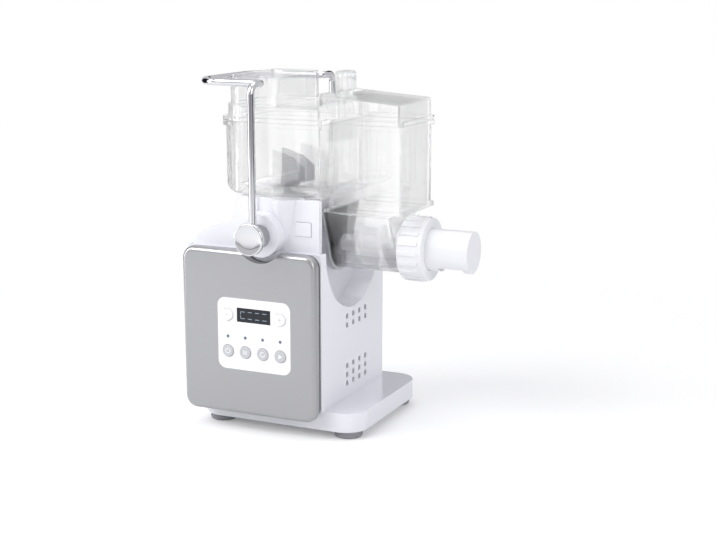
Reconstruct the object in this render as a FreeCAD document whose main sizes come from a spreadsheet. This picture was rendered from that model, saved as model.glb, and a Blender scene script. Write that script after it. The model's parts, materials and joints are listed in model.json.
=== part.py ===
import FreeCAD, Part
import math
import os
import re
import Sketcher

# Electric pasta maker: a motor base with a silver front panel, a clear kneading bowl and
# pressing chamber on top, and an extruder barrel that points right.
# Frame: +Z up, front panel towards -Y, extruder towards +X, origin on the table under the middle.
# The extruder screw lies in the plane Y = 0.

doc = FreeCAD.newDocument("PastaMaker")
sheet = doc.addObject("Spreadsheet::Sheet", "Dimensions")

DIMENSIONS = [
    # base and housing
    ("foot_height", 7.5), ("foot_radius", 13.5), ("foot_inset", 18.0),
    ("body_middle_x", -63.0), ("body_width", 141.0), ("body_front_y", -61.0), ("body_depth", 148.0),
    ("body_bottom_z", 26.0), ("body_top_z", 176.0), ("body_wall", 2.6), ("body_corner", 9.0),
    ("plate_left_x", -128.5), ("plate_right_x", 42.5), ("plate_front_y", -56.0), ("plate_back_y", 94.0),
    ("plate_corner", 22.0), ("plate_wall", 3.0), ("cover_thickness", 2.4), ("fit_gap", 0.3),
    ("shoulder_low_x", -125.5), ("shoulder_low_z", 185.0), ("shoulder_middle_x", -108.5),
    ("shoulder_middle_z", 194.5), ("shoulder_z", 202.0), ("shoulder_left_x", -88.5),
    ("neck_left_x", -81.5), ("neck_top_z", 225.0),
    ("tower_right_x", 3.5), ("tower_half_depth", 56.0),
    ("column_x", -32.5), ("column_sunk", 4.0), ("column_low_radius", 4.0), ("column_high_radius", 13.0),
    ("groove_left_x", -60.5), ("groove_width", 5.5), ("groove_depth", 1.4), ("groove_height", 13.0),
    ("saddle_radius", 60.0), ("saddle_y", 10.0), ("saddle_z", 174.0), ("saddle_inner_x", -14.5),
    # vents
    ("vent_height", 5.0), ("vent_width", 5.0), ("vent_pitch", 14.0), ("vent_row_pitch", 8.8),
    ("vent_first_y", -7.0), ("vent_low_z", 37.5), ("vent_high_z", 95.5),
    # front panel and controls
    ("panel_thickness", 8.0), ("panel_bottom_z", 18.0), ("panel_top_z", 176.5), ("panel_wall", 2.0),
    ("panel_corner", 12.0), ("panel_edge_round", 4.5), ("trim_thickness", 4.6), ("trim_inset", 0.8),
    ("control_middle_x", -56.6), ("fascia_width", 77.0), ("fascia_height", 69.0), ("fascia_middle_z", 96.4),
    ("fascia_thickness", 2.0), ("fascia_corner", 8.0),
    ("display_width", 35.4), ("display_height", 13.4), ("display_middle_z", 115.2), ("display_gap", 0.1),
    ("key_radius", 5.8), ("key_length", 5.0), ("key_proud", 1.0), ("key_gap", 0.3), ("key_pitch", 18.5),
    ("lower_key_z", 79.4), ("upper_key_z", 114.6), ("led_z", 93.4), ("led_radius", 1.5),
    ("board_thickness", 1.6), ("board_gap", 1.2), ("board_margin", 4.0),
    # pivot and handle
    ("pivot_x", -50.0), ("pivot_z", 191.5), ("boss_radius", 20.0), ("boss_face_y", 72.0),
    ("notch_radius", 25.5), ("hub_radius", 11.0), ("disc_radius", 15.0), ("disc_thickness", 5.0),
    ("rod_radius", 3.4), ("leg_y", 84.0), ("loop_y", 60.0), ("loop_left_x", -122.5), ("loop_z", 330.5),
    ("loop_corner", 26.0), ("rod_bend", 8.0), ("pin_radius", 4.0), ("running_gap", 0.05),
    ("pin_reach", 14.0), ("hub_gap", 0.3), ("hub_outer_y", 89.0),
    # container
    ("bowl_left_x", -101.5), ("bowl_right_x", 5.5), ("bowl_half_depth", 57.0), ("bowl_corner", 24.0),
    ("bowl_floor_round", 12.0), ("rim_z", 294.0), ("clear_wall", 2.5),
    ("chamber_right_x", 76.5), ("chamber_half_depth", 39.0), ("chamber_bottom_z", 213.0),
    ("chamber_corner", 5.0), ("flange_out", 2.2), ("flange_thickness", 4.0),
    ("screw_z", 178.0), ("barrel_radius", 24.0), ("barrel_bore", 20.5), ("barrel_left_x", -0.5),
    ("barrel_right_x", 77.5), ("funnel_right_x", 65.5),
    ("gate_x", 4.25), ("gate_thickness", 3.0), ("gate_gap", 0.35), ("gate_half_width", 30.0),
    ("gate_bottom_z", 230.0), ("gate_rail", 3.0), ("tab_half_width", 15.0), ("tab_thickness", 9.0),
    ("tab_rise", 28.0), ("tab_height", 18.0), ("tab_corner", 6.0), ("opening_side", 5.0),
    ("opening_top_z", 276.0),
    # lid
    ("lid_gap", 0.3), ("lid_shoulder_rise", 16.0), ("lid_inset", 1.6), ("lid_wall", 2.4), ("lid_slot_gap", 1.2),
    ("block_left_x", -94.5), ("block_right_x", -44.5), ("block_half_depth", 48.0), ("block_rise", 42.5),
    ("block_corner", 8.0), ("roof_high_rise", 27.0), ("roof_low_rise", 21.0),
    # kneading
    ("paddle_x", -54.5), ("paddle_hub_radius", 9.0), ("paddle_tip_radius", 7.5), ("paddle_top_z", 265.0),
    ("paddle_hub_top_z", 255.0),
    ("paddle_bottom_z", 229.5), ("blade_reach", 25.0), ("blade_thickness", 5.0),
    ("paddle_shaft_radius", 4.0), ("bush_radius", 8.0), ("bush_collar", 1.0), ("shaft_top_z", 252.0),
    ("blade_low_rise", 6.0), ("blade_high_rise", 20.0), ("blade_tip_drop", 6.0),
    # extruder
    ("drive_shaft_radius", 6.0), ("flight_radius", 19.8), ("flight_pitch", 24.0), ("flight_width", 4.0),
    ("screw_gap", 0.5), ("die_thickness", 6.0), ("die_radius", 20.0), ("die_hole_radius", 1.2),
    ("die_inner_ring", 6.5), ("die_inner_count", 6), ("die_outer_ring", 12.5), ("die_outer_count", 12),
    ("screw_core_radius", 8.0), ("cut_over", 1.0), ("rib_start", 1.0), ("rib_end", 4.0),
    ("ring_radius", 29.3), ("rib_height", 1.2), ("rib_width", 3.6), ("rib_count", 20),
    ("ring_left_x", 68.5), ("ring_lip", 5.5), ("thread_gap", 0.4),
    ("cap_radius", 19.5), ("cap_end_x", 133.5), ("cap_wall", 2.4), ("cap_flange_thickness", 3.0),
    ("outlet_left_x", 103.5), ("outlet_length", 24.0), ("outlet_half_width", 13.0),
    ("end_plate_thickness", 7.0), ("end_plate_out", 3.0),
    # release button
    ("release_x", -12.5), ("release_z", 198.0), ("release_width", 16.0), ("release_height", 13.0),
    ("release_proud", 1.2), ("release_gap", 0.3),
    # drive
    ("gear_width", 6.0), ("gear_space", 1.0), ("gear_module", 1.0), ("pinion_teeth", 16),
    ("idler_large_teeth", 80), ("idler_small_teeth", 20), ("output_teeth", 74), ("tooth_height", 0.5),
    ("tooth_root_share", 0.27), ("tooth_tip_share", 0.15),
    ("motor_radius", 32.0), ("motor_length", 74.0), ("motor_space", 4.0), ("motor_shaft_radius", 4.0),
    ("rotor_radius", 19.0), ("rotor_gap", 1.2), ("rotor_length", 58.0), ("can_end", 3.0),
    ("bevel_radius", 13.0), ("bevel_width", 5.0), ("bevel_gap", 0.4),
    ("gear_plate_thickness", 4.0), ("gear_plate_half_width", 24.0), ("gear_plate_margin", 14.0),
    ("bearing_radius", 11.0), ("bearing_width", 6.0),
    ("fan_radius", 28.0), ("fan_width", 7.0), ("fan_gap", 2.0), ("fan_slots", 9),
    ("fan_slot_width", 5.0), ("fan_slot_inner", 9.0), ("fan_slot_over", 3.0), ("fan_back", 1.5),
    ("bracket_half_width", 24.0),
    ("bracket_length", 50.0), ("bracket_height", 20.0),
    ("inlet_width", 27.0), ("inlet_height", 20.0), ("inlet_inset", 33.0), ("inlet_z", 54.0),
    ("inlet_depth", 20.0), ("inlet_proud", 1.5), ("socket_wall", 3.0), ("socket_depth", 15.0),
    ("cover_screw_radius", 2.5), ("cover_screw_inset", 9.0),
    ("switch_length", 12.0), ("switch_width", 10.0), ("switch_height", 8.0), ("switch_y", 22.0),
]

for row, (alias, value) in enumerate(DIMENSIONS, start=1):
    sheet.set(f"A{row}", alias.replace("_", " "))
    sheet.set(f"B{row}", str(value))
    sheet.setAlias(f"B{row}", alias)
doc.recompute()

ALIASES = [alias for alias, value in DIMENSIONS]
ALIAS_WORD = re.compile(r"\b(" + "|".join(sorted(ALIASES, key=len, reverse=True)) + r")\b")
SIZE = {alias: float(getattr(sheet, alias)) for alias in ALIASES}
X_AXIS = FreeCAD.Vector(1, 0, 0)
Y_AXIS = FreeCAD.Vector(0, 1, 0)
Z_AXIS = FreeCAD.Vector(0, 0, 1)
TURNS = {
    "x": FreeCAD.Rotation(Y_AXIS, 90),
    "y": FreeCAD.Rotation(X_AXIS, -90),
    "z": FreeCAD.Rotation(Z_AXIS, 0),
}
parts = []

# Places that several pieces share, as sums of the named sizes
BODY_LEFT = "(body_middle_x - body_width / 2)"
BODY_RIGHT = "(body_middle_x + body_width / 2)"
BODY_BACK = "(body_front_y + body_depth)"
TRIM_FRONT = "(body_front_y - trim_thickness)"
PANEL_FRONT = "(body_front_y - trim_thickness - panel_thickness)"
FASCIA_BACK = "(body_front_y - trim_thickness - panel_thickness + fascia_thickness)"
BOARD_FRONT = "(body_front_y - trim_thickness - panel_thickness - key_proud + key_length + board_gap)"
LINER_X = "(saddle_inner_x - body_wall)"
GEAR_PLATE_X = "(saddle_inner_x - body_wall - gear_plate_thickness)"
IDLER_Z = "(screw_z - gear_module * (idler_small_teeth + output_teeth) / 2)"
MOTOR_Z = ("(screw_z - gear_module * (idler_small_teeth + output_teeth + pinion_teeth"
           " + idler_large_teeth) / 2)")
FIRST_GEAR_X = f"({GEAR_PLATE_X} - gear_space - gear_width)"
SECOND_GEAR_X = f"({GEAR_PLATE_X} - 2 * gear_space - 2 * gear_width)"
MOTOR_RIGHT = f"({FIRST_GEAR_X} - motor_space)"
LID_Z = "(rim_z + lid_gap)"
TAB_BOTTOM_Z = "(rim_z + tab_rise)"
TAB_TOP_Z = "(rim_z + tab_rise + tab_height)"
SHOULDER_TOP_Z = "(rim_z + lid_shoulder_rise)"
BLOCK_TOP_Z = "(rim_z + block_rise)"
ROOF_HIGH_Z = "(rim_z + roof_high_rise)"
ROOF_LOW_Z = "(rim_z + roof_low_rise)"
INLET_X = f"({BODY_LEFT} + inlet_inset)"
DIE_X = "barrel_right_x"
CAP_X = "(barrel_right_x + die_thickness)"


def bound(text):
    return ALIAS_WORD.sub(r"Dimensions.\1", str(text))


def bind(item, name, text):
    item.setExpression(name, bound(text))


def place(item, x, y, z):
    for letter, text in zip("xyz", (x, y, z)):
        bind(item, f"Placement.Base.{letter}", text)


def block(name, x0, x1, y0, y1, z0, z1):
    item = doc.addObject("Part::Box", name)
    bind(item, "Length", f"({x1}) - ({x0})")
    bind(item, "Width", f"({y1}) - ({y0})")
    bind(item, "Height", f"({z1}) - ({z0})")
    place(item, x0, y0, z0)
    return item


def drum(name, axis, radius, length, x, y, z):
    """Cylinder from the point along the positive axis."""
    item = doc.addObject("Part::Cylinder", name)
    item.Placement.Rotation = TURNS[axis]
    bind(item, "Radius", radius)
    bind(item, "Height", length)
    place(item, x, y, z)
    return item


def taper(name, axis, radius_start, radius_end, length, x, y, z):
    """Cone from the point along the positive axis."""
    item = doc.addObject("Part::Cone", name)
    item.Placement.Rotation = TURNS[axis]
    bind(item, "Radius1", radius_start)
    bind(item, "Radius2", radius_end)
    bind(item, "Height", length)
    place(item, x, y, z)
    return item


def join(name, *pieces):
    item = doc.addObject("Part::MultiFuse", name)
    item.Shapes = list(pieces)
    return item


def cut(name, base, *tools):
    item = doc.addObject("Part::Cut", name)
    item.Base = base
    item.Tool = tools[0] if len(tools) == 1 else join(name + "_tools", *tools)
    return item


def common(name, first, second):
    item = doc.addObject("Part::MultiCommon", name)
    item.Shapes = [first, second]
    return item


def rounded(name, base, radius, chosen):
    """Rounds the edges of base that the test picks."""
    doc.recompute()
    item = doc.addObject("Part::Fillet", name)
    item.Base = base
    picked = [n for n, edge in enumerate(base.Shape.Edges, start=1) if chosen(edge)]
    item.Edges = [(n, SIZE[radius], SIZE[radius]) for n in picked]
    return item


def along(axis, test=None):
    """Picks straight edges parallel to the axis whose middle passes the test."""
    def chosen(edge):
        if edge.Curve.TypeId != "Part::GeomLine":
            return False
        if abs(abs(edge.Curve.Direction.dot(axis)) - 1) > 1e-6:
            return False
        return test is None or test(edge.CenterOfMass)
    return chosen


def outline(name, plane, points, low, high):
    """Body padded from a closed outline, with every corner tied to the sheet."""
    body = doc.addObject("PartDesign::Body", name)
    sketch = body.newObject("Sketcher::SketchObject", name + "_outline")
    origin = [f for f in body.Origin.OriginFeatures if f.Role == plane][0]
    sketch.AttachmentSupport = [(origin, "")]
    sketch.MapMode = "FlatFace"
    bind(sketch, "AttachmentOffset.Base.z", f"-({high})" if plane == "XZ_Plane" else low)
    count = len(points)
    start = [FreeCAD.Vector(math.cos(2 * math.pi * i / count), math.sin(2 * math.pi * i / count), 0)
             for i in range(count)]
    for i in range(count):
        sketch.addGeometry(Part.LineSegment(start[i], start[(i + 1) % count]), False)
    for i in range(count):
        sketch.addConstraint(Sketcher.Constraint("Coincident", i, 2, (i + 1) % count, 1))
    for i, corner in enumerate(points):
        for letter, kind, text, value in zip("uv", ("DistanceX", "DistanceY"), corner, start[i]):
            index = sketch.addConstraint(Sketcher.Constraint(kind, -1, 1, i, 1, value))
            sketch.renameConstraint(index, f"{letter}{i}")
            bind(sketch, f"Constraints.{letter}{i}", text)
    pad = body.newObject("PartDesign::Pad", name + "_pad")
    pad.Profile = sketch
    bind(pad, "Length", f"({high}) - ({low})")
    body.Tip = pad
    return body


def keep(item, label):
    item.Label = label
    parts.append(item)
    return item


def shaped(label, shape):
    item = doc.addObject("Part::Feature", label + "_piece")
    item.Shape = shape
    return keep(item, label)


def bowl_block(name, out, low, high, corner="bowl_corner"):
    """Block on the kneading bowl's outline, grown by out."""
    item = block(name, f"bowl_left_x - ({out})", f"bowl_right_x + ({out})",
                 f"-bowl_half_depth - ({out})", f"bowl_half_depth + ({out})", low, high)
    return rounded(name + "_round", item, corner, along(Z_AXIS, lambda c: c.x < 0))


def chamber_block(name, out, low, high, left="gate_x"):
    """Block on the pressing chamber's outline, grown by out."""
    item = block(name, left, f"chamber_right_x + ({out})", f"-chamber_half_depth - ({out})",
                 f"chamber_half_depth + ({out})", low, high)
    return rounded(name + "_round", item, "chamber_corner", along(Z_AXIS, lambda c: c.x > 50))


# Main housing: shell with foot plate, shoulder, tower, saddle, vents and pivot bosses
def make_housing():
    box = block("body_box", BODY_LEFT, BODY_RIGHT, "body_front_y", BODY_BACK, "body_bottom_z", "body_top_z")
    box = rounded("body_round", box, "body_corner", along(Z_AXIS, lambda c: c.y > 0))
    plate = block("foot_plate", "plate_left_x", "plate_right_x", "plate_front_y", "plate_back_y",
                  "foot_height", "body_bottom_z")
    plate = rounded("foot_plate_round", plate, "plate_corner", along(Z_AXIS))
    tower = outline("tower", "XZ_Plane", [
        (f"{BODY_LEFT} + body_wall", "body_top_z"), ("shoulder_low_x", "shoulder_low_z"),
        ("shoulder_middle_x", "shoulder_middle_z"), ("shoulder_left_x", "shoulder_z"),
        ("neck_left_x", "neck_top_z"), ("tower_right_x", "neck_top_z"), ("tower_right_x", "body_top_z")],
        "-tower_half_depth", "tower_half_depth")
    skin = join("housing_skin", box, plate, tower)
    hollow = block("body_hollow", f"{BODY_LEFT} + body_wall", f"{BODY_RIGHT} - body_wall",
                   "body_front_y + body_wall", f"{BODY_BACK} - body_wall", "body_bottom_z + body_wall",
                   "body_top_z - body_wall")
    plate_hollow = block("plate_hollow", "plate_left_x + plate_wall", "plate_right_x - plate_wall",
                         "plate_front_y + plate_wall", "plate_back_y - plate_wall",
                         "foot_height - plate_wall", "body_bottom_z - plate_wall")
    plate_hollow = rounded("plate_hollow_round", plate_hollow, "plate_corner", along(Z_AXIS))
    well = block("body_well", "plate_left_x + plate_wall", f"{BODY_RIGHT} - body_wall",
                 "plate_front_y + plate_wall", f"{BODY_BACK} - body_wall", "foot_height",
                 "body_bottom_z + 2 * body_wall")
    well = rounded("body_well_round", well, "plate_corner", along(Z_AXIS, lambda c: c.x < 0))
    tower_hollow = outline("tower_hollow", "XZ_Plane", [
        ("shoulder_left_x + body_wall", "body_top_z - 2 * body_wall"),
        ("shoulder_left_x + body_wall", "shoulder_z - body_wall"),
        ("neck_left_x + body_wall", "neck_top_z - body_wall"),
        ("tower_right_x - body_wall", "neck_top_z - body_wall"),
        ("tower_right_x - body_wall", "body_top_z - 2 * body_wall")],
        "body_wall - tower_half_depth", "tower_half_depth - body_wall")
    shell = cut("housing_shell", skin, hollow, plate_hollow, well, tower_hollow)
    liner = join("saddle_liner",
                 drum("liner_round", "x", "saddle_radius + body_wall", f"{BODY_RIGHT} - {LINER_X}",
                      LINER_X, "saddle_y", "saddle_z"),
                 block("liner_top", LINER_X, BODY_RIGHT, "saddle_y - saddle_radius - body_wall",
                       "saddle_y + saddle_radius + body_wall", "saddle_z", "neck_top_z"))
    lined = join("housing_lined", shell, common("liner_kept", skin, liner))
    bosses = [drum(f"boss_{side}", "y", "boss_radius", "boss_face_y - tower_half_depth + body_wall",
                   "pivot_x", start, "pivot_z")
              for side, start in (("front", "-boss_face_y"), ("rear", "tower_half_depth - body_wall"))]
    column = taper("tower_column", "z", "column_low_radius", "column_high_radius", "neck_top_z - body_top_z",
                   "column_x", "column_sunk - tower_half_depth", "body_top_z")
    lined = join("housing_bossed", lined, *bosses, column)
    saddle = drum("saddle_cut", "x", "saddle_radius", f"{BODY_RIGHT} - saddle_inner_x + body_wall",
                  "saddle_inner_x", "saddle_y", "saddle_z")
    saddle_top = block("saddle_top_cut", "saddle_inner_x", f"{BODY_RIGHT} + body_wall",
                       "saddle_y - saddle_radius", "saddle_y + saddle_radius", "saddle_z",
                       "neck_top_z + body_wall")
    shaft_hole = drum("shaft_hole", "x", "drive_shaft_radius + fit_gap", "3 * body_wall",
                      f"{LINER_X} - body_wall", "0", "screw_z")
    bush_hole = drum("bush_hole", "z", "bush_radius", "3 * body_wall", "paddle_x", "0",
                     "neck_top_z - 2 * body_wall")
    pins = [drum(f"pin_hole_{side}", "y", "pin_radius", "boss_face_y - tower_half_depth + 3 * body_wall",
                 "pivot_x", start, "pivot_z")
            for side, start in (("front", "-boss_face_y"), ("rear", "tower_half_depth - 3 * body_wall"))]
    release = block("release_hole", "release_x - release_width / 2 - release_gap",
                    "release_x + release_width / 2 + release_gap", "-tower_half_depth - body_wall",
                    "saddle_y - saddle_radius + body_wall",
                    "release_z - release_height / 2 - release_gap",
                    "release_z + release_height / 2 + release_gap")
    inlet = block("inlet_hole", f"{INLET_X} - inlet_width / 2", f"{INLET_X} + inlet_width / 2",
                  f"{BODY_BACK} - 2 * body_wall", f"{BODY_BACK} + body_wall",
                  "inlet_z - inlet_height / 2", "inlet_z + inlet_height / 2")
    groove = block("tower_groove", "groove_left_x", "groove_left_x + groove_width",
                   "-tower_half_depth - body_wall", "groove_depth - tower_half_depth",
                   "neck_top_z - groove_height", "neck_top_z + body_wall")
    vents = []
    for group, first_z, rows in (("low", "vent_low_z", 3), ("high", "vent_high_z", 2)):
        for row in range(rows):
            for column in range(4):
                y = f"vent_first_y + {column} * vent_pitch"
                z = f"{first_z} + {row} * vent_row_pitch"
                vents.append(block(f"vent_{group}_{row}_{column}", f"{BODY_RIGHT} - 2 * body_wall",
                                   f"{BODY_RIGHT} + body_wall", y, f"{y} + vent_width", z,
                                   f"{z} + vent_height"))
    housing = cut("housing_cut", lined, saddle, saddle_top, shaft_hole, bush_hole, release, inlet,
                  groove, *pins, *vents)
    keep(housing, "main_housing")


# Base: cover, screws and feet
def make_base():
    cover = block("cover_block", "plate_left_x + plate_wall + fit_gap", "plate_right_x - plate_wall - fit_gap",
                  "plate_front_y + plate_wall + fit_gap", "plate_back_y - plate_wall - fit_gap",
                  "foot_height", "foot_height + cover_thickness")
    cover = rounded("cover_round", cover, "plate_corner", along(Z_AXIS))
    corners = [(side, end, f"plate_{side}_x {sx} ", f"plate_{end}_y {sy} ")
               for side, sx in (("left", "+"), ("right", "-")) for end, sy in (("front", "+"), ("back", "-"))]
    holes = []
    screws = []
    for side, end, x, y in corners:
        holes.append(drum(f"cover_hole_{side}_{end}", "z", "cover_screw_radius", "2 * cover_thickness",
                          f"{x} plate_corner", f"{y} cover_screw_inset", "foot_height - cover_thickness / 2"))
        screws.append(drum(f"cover_screw_{side}_{end}", "z", "cover_screw_radius",
                           "body_bottom_z - plate_wall - foot_height - fit_gap", f"{x} plate_corner",
                           f"{y} cover_screw_inset", "foot_height + fit_gap"))
        foot = drum(f"foot_{side}_{end}_disc", "z", "foot_radius", "foot_height", f"{x} foot_inset",
                    f"{y} foot_inset", "0")
        name = "rear" if end == "back" else end
        keep(foot, f"foot_{name}_{side}")
    keep(cut("cover_drilled", cover, *holes), "base_cover")
    group = doc.addObject("Part::Compound", "cover_screw_group")
    group.Links = screws
    keep(group, "cover_screws")


# Front panel, trim, fascia, keys, display and board
def panel_plate(name, inset, front, back):
    item = block(name, f"{BODY_LEFT} + ({inset})", f"{BODY_RIGHT} - ({inset})", front, back,
                 f"panel_bottom_z + ({inset})", f"panel_top_z - ({inset})")
    return rounded(name + "_round", item, "panel_corner", along(Y_AXIS))


def notch(name, extra):
    return drum(name, "y", f"notch_radius + ({extra})", "panel_thickness + trim_thickness + 2 * panel_wall",
                "pivot_x", f"{PANEL_FRONT} - panel_wall", "pivot_z")


def make_panel():
    plate = panel_plate("panel_plate", "0", PANEL_FRONT, TRIM_FRONT)
    front = SIZE["body_front_y"] - SIZE["trim_thickness"] - SIZE["panel_thickness"]
    plate = rounded("panel_edges", plate, "panel_edge_round", lambda e: abs(e.CenterOfMass.y - front) < 1e-6)
    inside = panel_plate("panel_inside", "panel_wall", f"{PANEL_FRONT} + panel_wall", "body_front_y")
    lining = common("notch_lining", plate, notch("notch_rim", "panel_wall"))
    window = block("fascia_window", "control_middle_x - fascia_width / 2",
                   "control_middle_x + fascia_width / 2",
                   f"{PANEL_FRONT} - panel_wall", f"{PANEL_FRONT} + 2 * panel_wall",
                   "fascia_middle_z - fascia_height / 2", "fascia_middle_z + fascia_height / 2")
    window = rounded("fascia_window_round", window, "fascia_corner", along(Y_AXIS))
    shell = join("panel_lined", cut("panel_shell", plate, inside), lining)
    keep(cut("panel_cut", shell, notch("panel_notch", "0"), window), "front_panel")
    band = panel_plate("trim_plate", "trim_inset", TRIM_FRONT, "body_front_y")
    opening = panel_plate("trim_opening", "panel_wall + trim_inset", f"{TRIM_FRONT} - panel_wall",
                          "body_front_y + panel_wall")
    trim_lining = common("trim_lining", band, notch("trim_rim", "panel_wall"))
    trim = join("trim_lined", cut("trim_ring", band, opening), trim_lining)
    keep(cut("trim_cut", trim, notch("trim_notch", "0")), "panel_trim")


def key_places():
    lower = [(f"lower_key_{n + 1}", f"control_middle_x + {n - 1.5} * key_pitch", "lower_key_z")
             for n in range(4)]
    upper = [(f"upper_key_{side}", f"control_middle_x {sign} 1.5 * key_pitch", "upper_key_z")
             for side, sign in (("left", "-"), ("right", "+"))]
    return lower + upper


def make_controls():
    fascia = block("fascia_plate", "control_middle_x - fascia_width / 2", "control_middle_x + fascia_width / 2",
                   PANEL_FRONT, FASCIA_BACK, "fascia_middle_z - fascia_height / 2",
                   "fascia_middle_z + fascia_height / 2")
    fascia = rounded("fascia_round", fascia, "fascia_corner", along(Y_AXIS))
    holes = [drum(name + "_hole", "y", "key_radius + key_gap", "2 * fascia_thickness", x,
                  f"{PANEL_FRONT} - fascia_thickness / 2", z) for name, x, z in key_places()]
    display = block("display_hole", "control_middle_x - display_width / 2 - display_gap",
                    "control_middle_x + display_width / 2 + display_gap",
                    f"{PANEL_FRONT} - fascia_thickness / 2", f"{FASCIA_BACK} + fascia_thickness",
                    "display_middle_z - display_height / 2 - display_gap",
                    "display_middle_z + display_height / 2 + display_gap")
    lamp_places = [f"control_middle_x + {n - 1.5} * key_pitch" for n in range(4)]
    lamp_holes = [drum(f"lamp_hole_{n}", "y", "led_radius + running_gap", "2 * fascia_thickness", x,
                       f"{PANEL_FRONT} - fascia_thickness / 2", "led_z") for n, x in enumerate(lamp_places)]
    keep(cut("fascia_cut", fascia, display, *holes, *lamp_holes), "control_fascia")
    keep(block("display_block", "control_middle_x - display_width / 2", "control_middle_x + display_width / 2",
               PANEL_FRONT, BOARD_FRONT, "display_middle_z - display_height / 2",
               "display_middle_z + display_height / 2"), "display_window")
    lamps = doc.addObject("Part::Compound", "lamp_group")
    lamps.Links = [drum(f"lamp_{n}", "y", "led_radius", f"{BOARD_FRONT} - {PANEL_FRONT}", x,
                        PANEL_FRONT, "led_z") for n, x in enumerate(lamp_places)]
    keep(lamps, "indicator_lenses")
    for name, x, z in key_places():
        keep(drum(name + "_cap", "y", "key_radius", "key_length", x, f"{PANEL_FRONT} - key_proud", z), name)
    keep(block("board_plate", "control_middle_x - fascia_width / 2 + board_margin",
               "control_middle_x + fascia_width / 2 - board_margin", BOARD_FRONT,
               f"{BOARD_FRONT} + board_thickness", "fascia_middle_z - fascia_height / 2 + board_margin",
               "fascia_middle_z + fascia_height / 2 - board_margin"), "control_board")


# Handle: one bent rod with a hub and a disc at each end, on pins in the tower's bosses
def rod_path():
    """Straight runs and tangent arcs from the front hub, round the loop and down to the rear hub."""
    x = SIZE["pivot_x"]
    leg = SIZE["leg_y"]
    loop = SIZE["loop_y"]
    top = SIZE["loop_z"]
    corners = [(x, -leg, SIZE["pivot_z"]), (x, -leg, top), (x, -loop, top), (SIZE["loop_left_x"], -loop, top),
               (SIZE["loop_left_x"], loop, top), (x, loop, top), (x, leg, top), (x, leg, SIZE["pivot_z"])]
    points = [FreeCAD.Vector(*corner) for corner in corners]
    bends = [SIZE["rod_bend"], SIZE["rod_bend"], SIZE["loop_corner"], SIZE["loop_corner"],
             SIZE["rod_bend"], SIZE["rod_bend"]]
    edges = []
    last = points[0]
    for before, corner, after, radius in zip(points, points[1:], points[2:], bends):
        back = (before - corner).normalize()
        ahead = (after - corner).normalize()
        start = corner + back * radius
        end = corner + ahead * radius
        middle = corner + (back + ahead) * radius * (1 - math.sqrt(0.5))
        edges.append(Part.LineSegment(last, start).toShape())
        edges.append(Part.Arc(start, middle, end).toShape())
        last = end
    edges.append(Part.LineSegment(last, points[-1]).toShape())
    return Part.Wire(edges)


def make_handle():
    path = rod_path()
    start = path.Vertexes[0].Point
    profile = Part.Wire(Part.Circle(start, Z_AXIS, SIZE["rod_radius"]).toShape())
    rod = path.makePipeShell([profile], True, False)
    hub_span = SIZE["hub_outer_y"] - SIZE["boss_face_y"]
    for y in (-SIZE["hub_outer_y"], SIZE["boss_face_y"]):
        rod = rod.cut(Part.makeCylinder(SIZE["hub_radius"], hub_span,
                                        FreeCAD.Vector(SIZE["pivot_x"], y, SIZE["pivot_z"]), Y_AXIS))
    shaped("handle_rod", rod)
    sides = (("front", "-hub_outer_y", "-hub_outer_y - disc_thickness", "-boss_face_y - pin_reach",
              "-boss_face_y - pin_reach"),
             ("rear", "boss_face_y + hub_gap", "hub_outer_y", "boss_face_y - hub_gap",
              "tower_half_depth - 3 * body_wall"))
    for side, hub_y, disc_y, bore_y, pin_y in sides:
        hub = drum(f"{side}_hub_drum", "y", "hub_radius", "hub_outer_y - boss_face_y - hub_gap",
                   "pivot_x", hub_y, "pivot_z")
        bore = drum(f"{side}_hub_bore", "y", "pin_radius + running_gap", "pin_reach + hub_gap",
                    "pivot_x", bore_y, "pivot_z")
        keep(cut(f"{side}_hub_bored", hub, bore), f"{side}_pivot_hub")
        keep(drum(f"{side}_disc_drum", "y", "disc_radius", "disc_thickness", "pivot_x", disc_y, "pivot_z"),
             f"{side}_pivot_disc")
        keep(drum(f"{side}_pin_drum", "y", "pin_radius",
                  "boss_face_y - tower_half_depth + 3 * body_wall + pin_reach - hub_gap",
                  "pivot_x", f"{pin_y} + hub_gap" if side == "front" else pin_y, "pivot_z"),
             f"{side}_pivot_pin")


# Container: kneading bowl, pressing chamber, funnel and barrel in one clear moulding
def funnel(name, inset, left, right, radius):
    return outline(name, "YZ_Plane", [
        (f"{inset} - chamber_half_depth", "chamber_bottom_z + clear_wall"), (f"-{radius}", "screw_z"),
        (radius, "screw_z"), (f"chamber_half_depth - {inset}", "chamber_bottom_z + clear_wall")], left, right)


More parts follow.
